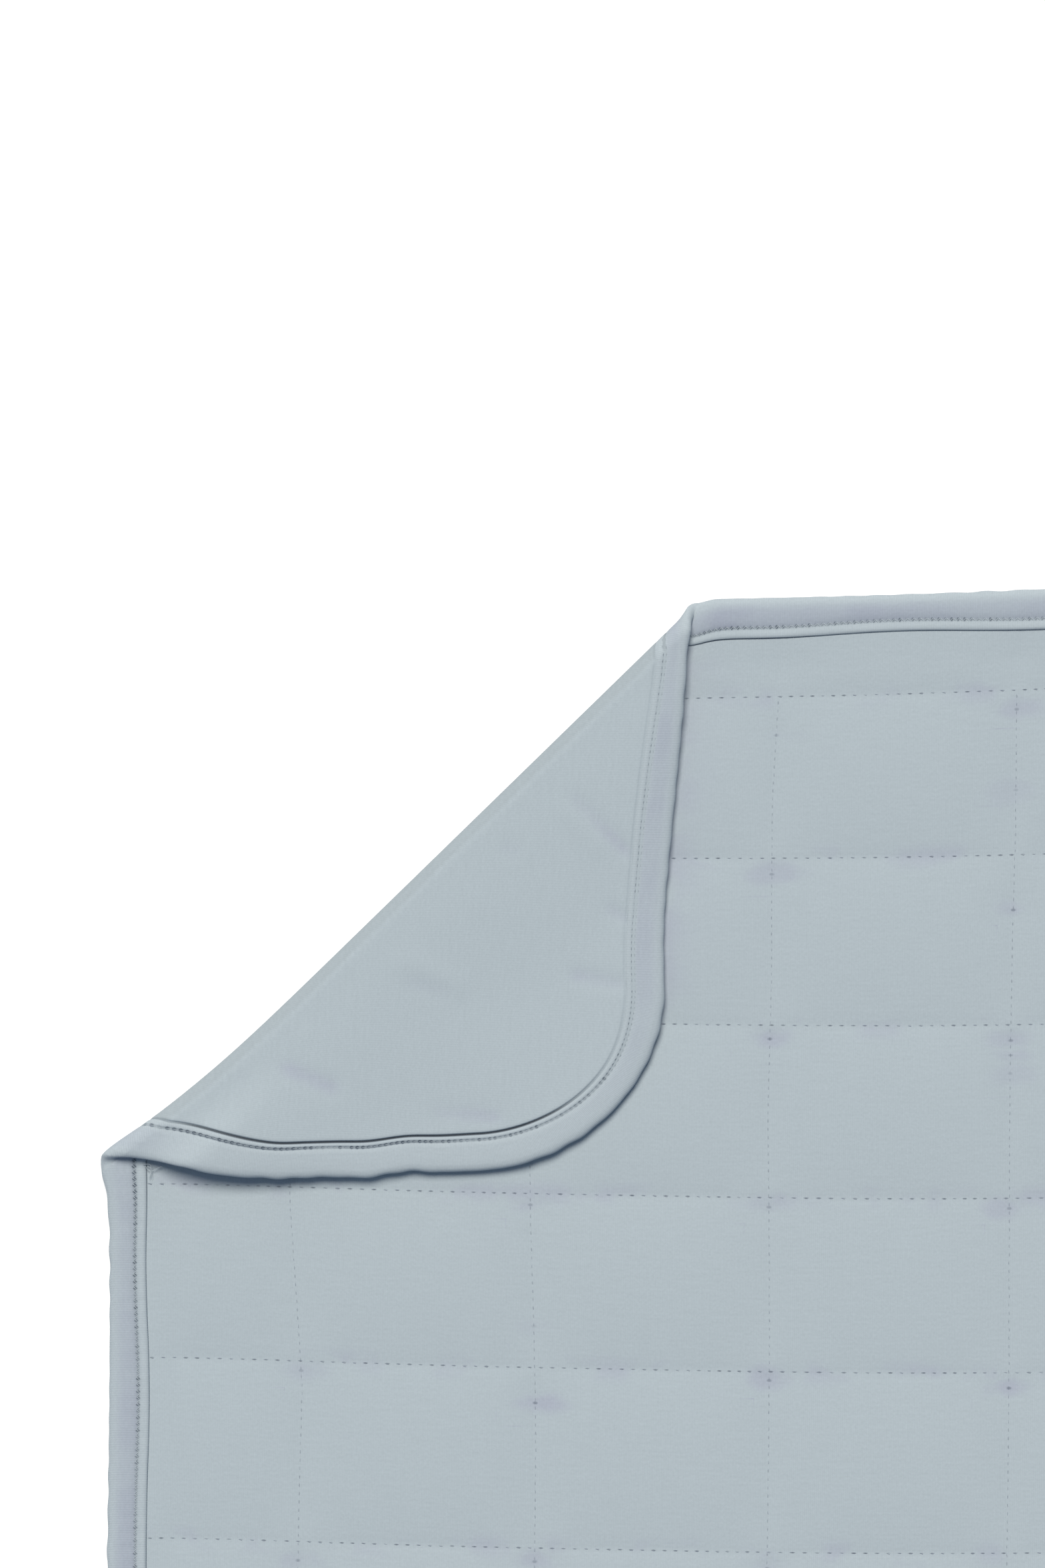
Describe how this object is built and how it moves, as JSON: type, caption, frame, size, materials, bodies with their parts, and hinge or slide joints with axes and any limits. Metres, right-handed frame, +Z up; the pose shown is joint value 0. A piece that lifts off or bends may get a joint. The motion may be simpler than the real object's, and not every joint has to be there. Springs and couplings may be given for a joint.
{
  "type": "quilted blanket",
  "caption": "Quilted rectangular blanket with rounded corners and a wrapped edge binding, lying flat with one corner folded over to show its plain back.",
  "frame": {"origin": "on the surface it lies on, under the middle of the blanket's box", "axes": "+Z up, +Y along the blanket's length towards the edge with the folded corner, +X across its width, so the folded corner is at -X and +Y"},
  "size_m": [0.7634, 1.0168, 0.0151],
  "materials": {
    "quilted_cloth": "matte fine knit",
    "back_cloth": "matte fine knit",
    "binding_cloth": "matte ribbed knit"
  },
  "bodies": {
    "root": {"quilted_panel": "quilted_cloth", "back_panel": "back_cloth", "binding": "binding_cloth"}
  },
  "joints": []
}
